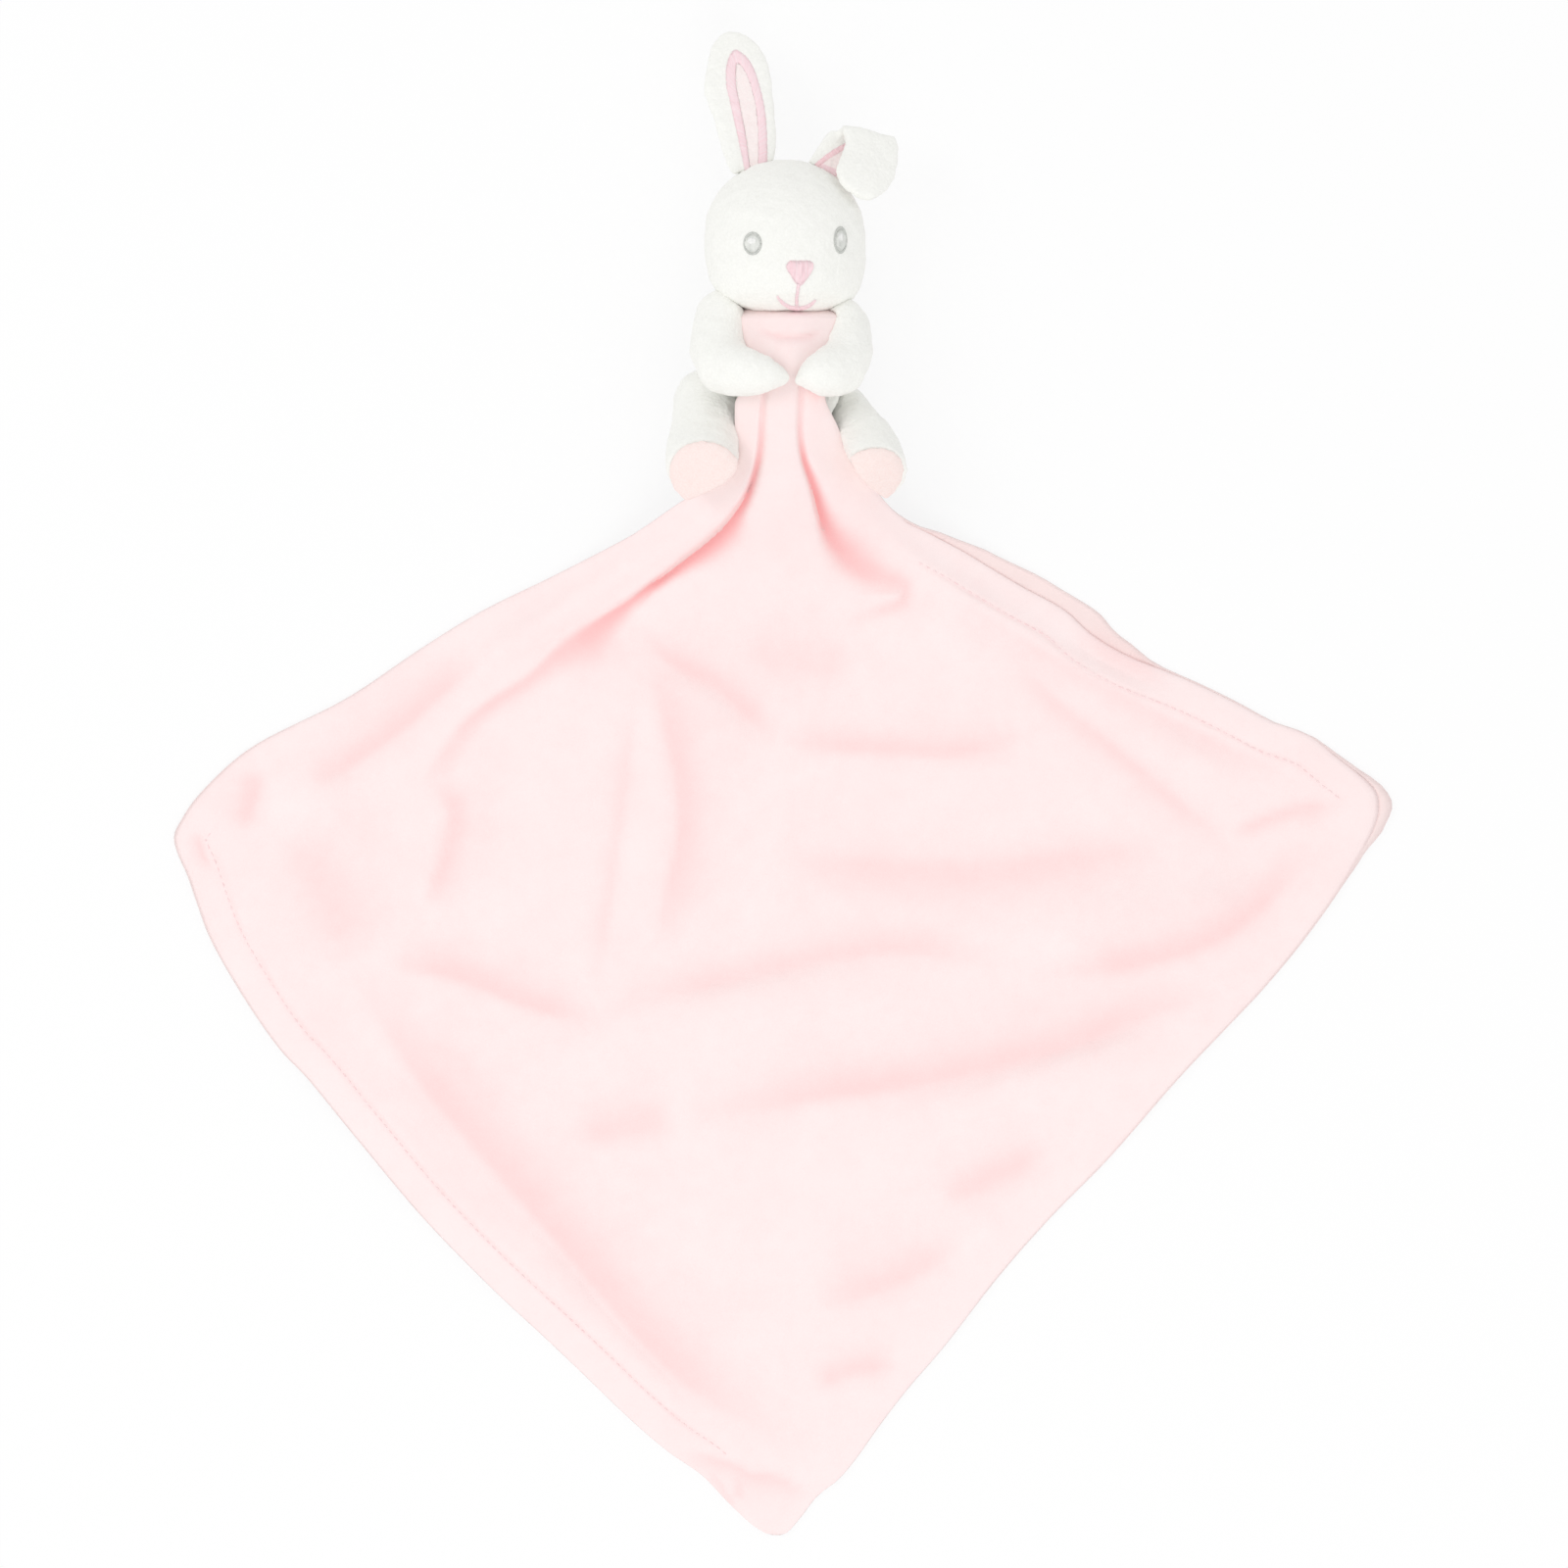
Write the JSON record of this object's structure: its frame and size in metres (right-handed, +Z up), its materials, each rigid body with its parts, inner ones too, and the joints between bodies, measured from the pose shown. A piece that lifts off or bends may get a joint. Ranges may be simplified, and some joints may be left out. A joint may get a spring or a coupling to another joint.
{
  "type": "comfort blanket lovey",
  "caption": "Soft plush rabbit lying on its back with a double velour comfort blanket spread out from its chest, one ear up and one folded over.",
  "frame": {"origin": "on the surface it lies on, under the middle of the whole toy, blanket included", "axes": "+X towards the right of a person who looks down on it with the ears at the top, +Y from the blanket's far corner up to the ears, +Z up out of the surface it lies on"},
  "size_m": [0.5112, 0.6224, 0.0686],
  "materials": {
    "white_plush": "matte",
    "stuffing": "matte",
    "blanket_velour_front": "matte",
    "blanket_velour_back": "matte",
    "sole_velour": "matte",
    "ear_lining_velour": "matte",
    "pink_embroidery_thread": "satin",
    "grey_embroidery_thread": "satin"
  },
  "bodies": {
    "torso": {"body_skin": "white_plush", "body_filling": "stuffing", "tail": "white_plush", "right_arm_skin": "white_plush", "right_arm_filling": "stuffing", "left_arm_skin": "white_plush", "left_arm_filling": "stuffing", "blanket_front_panel": "blanket_velour_front", "blanket_back_panel": "blanket_velour_back"},
    "neck": {"neck_filling": "stuffing"},
    "head": {"head_skin": "white_plush", "head_filling": "stuffing", "right_eye": "grey_embroidery_thread", "left_eye": "grey_embroidery_thread", "nose": "pink_embroidery_thread", "mouth": "pink_embroidery_thread"},
    "right_ear": {"right_ear_back": "white_plush", "right_ear_front": "white_plush", "right_ear_border": "pink_embroidery_thread", "right_ear_lining": "ear_lining_velour"},
    "left_ear": {"left_ear_base_back": "white_plush", "left_ear_base_front": "white_plush", "left_ear_base_border": "pink_embroidery_thread", "left_ear_base_lining": "ear_lining_velour"},
    "left_ear_tip": {"left_ear_tip_front": "white_plush", "left_ear_tip_back": "white_plush", "left_ear_tip_border": "pink_embroidery_thread", "left_ear_tip_lining": "ear_lining_velour"},
    "right_leg": {"right_leg_skin": "white_plush", "right_leg_filling": "stuffing", "right_foot_sole": "sole_velour"},
    "left_leg": {"left_leg_skin": "white_plush", "left_leg_filling": "stuffing", "left_foot_sole": "sole_velour"}
  },
  "joints": [
    {"name": "neck_nod", "type": "hinge", "parent": "torso", "child": "neck", "pos_m": [-0.0008, 0.19864, 0.0318], "axis": [1, 0, 0], "range_deg": [-20, 0], "stiffness_Nm_per_rad": 0.4},
    {"name": "head_turn", "type": "hinge", "parent": "neck", "child": "head", "pos_m": [-0.0008, 0.19864, 0.0318], "axis": [0, 1, 0], "range_deg": [-40, 20], "stiffness_Nm_per_rad": 0.2},
    {"name": "right_ear_flop", "type": "hinge", "parent": "head", "child": "right_ear", "pos_m": [-0.01364, 0.25284, 0.03559], "axis": [0.9254, 0.342, -0.1632], "range_deg": [-20, 50], "stiffness_Nm_per_rad": 0.02},
    {"name": "left_ear_flop", "type": "hinge", "parent": "head", "child": "left_ear", "pos_m": [0.015, 0.25204, 0.03155], "axis": [0.8529, -0.5, -0.1504], "range_deg": [-30, 0], "stiffness_Nm_per_rad": 0.02},
    {"name": "left_ear_tip_fold", "type": "hinge", "parent": "left_ear", "child": "left_ear_tip", "pos_m": [0.0193, 0.26767, 0.03328], "axis": [-0.9786, 0.1121, 0.1726], "range_deg": [-5, 130], "stiffness_Nm_per_rad": 0.004},
    {"name": "right_leg_swing", "type": "hinge", "parent": "torso", "child": "right_leg", "pos_m": [-0.0292, 0.15664, 0.021], "axis": [1, 0, 0], "range_deg": [-12, 0], "stiffness_Nm_per_rad": 0.15},
    {"name": "left_leg_swing", "type": "hinge", "parent": "torso", "child": "left_leg", "pos_m": [0.0268, 0.15264, 0.02], "axis": [1, 0, 0], "range_deg": [-12, 0], "stiffness_Nm_per_rad": 0.15}
  ]
}
